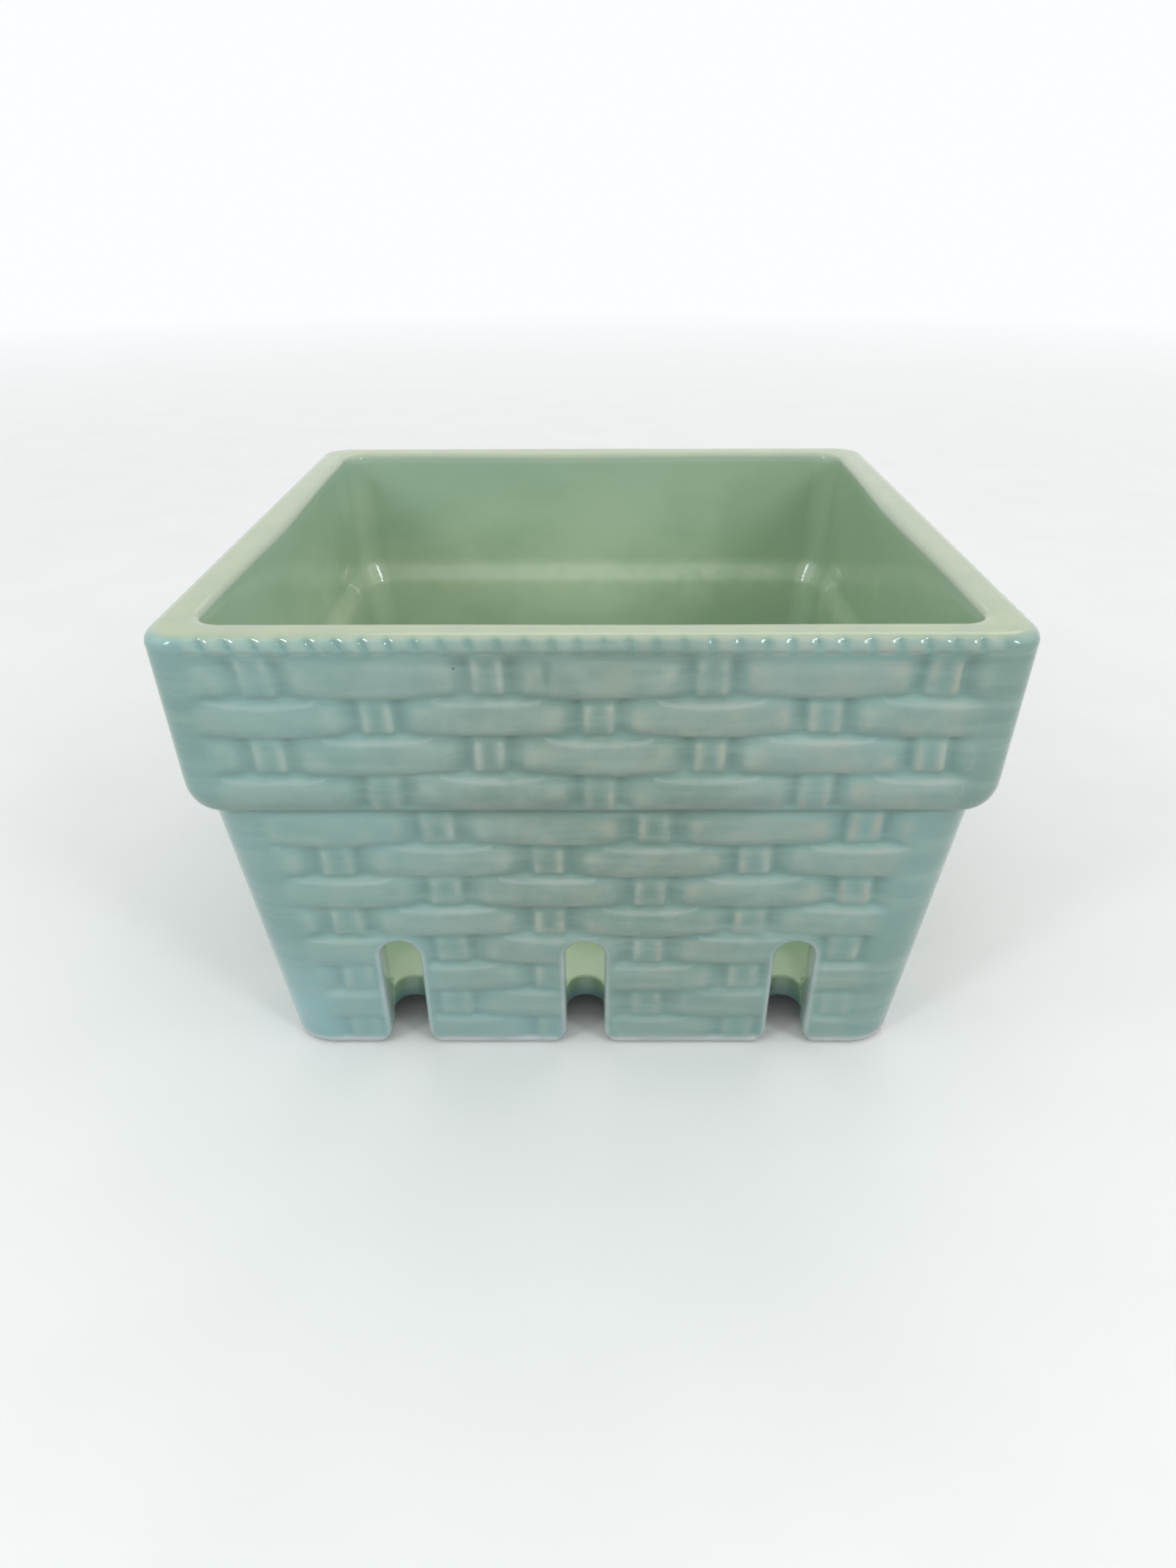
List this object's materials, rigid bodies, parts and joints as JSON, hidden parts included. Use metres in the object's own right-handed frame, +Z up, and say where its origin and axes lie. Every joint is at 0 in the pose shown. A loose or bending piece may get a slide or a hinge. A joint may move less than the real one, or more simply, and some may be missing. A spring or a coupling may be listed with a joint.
{
  "type": "ceramic berry box",
  "caption": "Square ceramic berry box in basketweave relief, with a stepped collar, a rope-edged rim and arched drain slots at the foot.",
  "frame": {"origin": "centre of the footprint, on the table that the feet stand on", "axes": "+Z up, the front side faces -Y, +X to the right as the front is faced"},
  "size_m": [0.133, 0.133, 0.0854],
  "materials": {
    "wall_glaze": "glossy celadon glaze, darker in the grooves and paler on raised edges",
    "collar_glaze": "glossy celadon glaze, darker in the grooves and paler on raised edges",
    "rim_glaze": "glossy glaze, thin and pale yellow-green on the rim",
    "rope_glaze": "glossy celadon glaze",
    "floor_glaze": "glossy glaze, greener than the outside"
  },
  "bodies": {
    "root": {"floor_slab": "floor_glaze", "lower_wall_front": "wall_glaze", "foot_front_1": "wall_glaze", "foot_front_2": "wall_glaze", "foot_front_3": "wall_glaze", "foot_front_4": "wall_glaze", "lower_wall_right": "wall_glaze", "foot_right_1": "wall_glaze", "foot_right_2": "wall_glaze", "foot_right_3": "wall_glaze", "foot_right_4": "wall_glaze", "lower_wall_back": "wall_glaze", "foot_back_1": "wall_glaze", "foot_back_2": "wall_glaze", "foot_back_3": "wall_glaze", "foot_back_4": "wall_glaze", "lower_wall_left": "wall_glaze", "foot_left_1": "wall_glaze", "foot_left_2": "wall_glaze", "foot_left_3": "wall_glaze", "foot_left_4": "wall_glaze", "collar_front": "collar_glaze", "collar_right": "collar_glaze", "collar_back": "collar_glaze", "collar_left": "collar_glaze", "rim_front": "rim_glaze", "rim_right": "rim_glaze", "rim_back": "rim_glaze", "rim_left": "rim_glaze", "rope_edging_front": "rope_glaze", "rope_edging_right": "rope_glaze", "rope_edging_back": "rope_glaze", "rope_edging_left": "rope_glaze"}
  },
  "joints": []
}
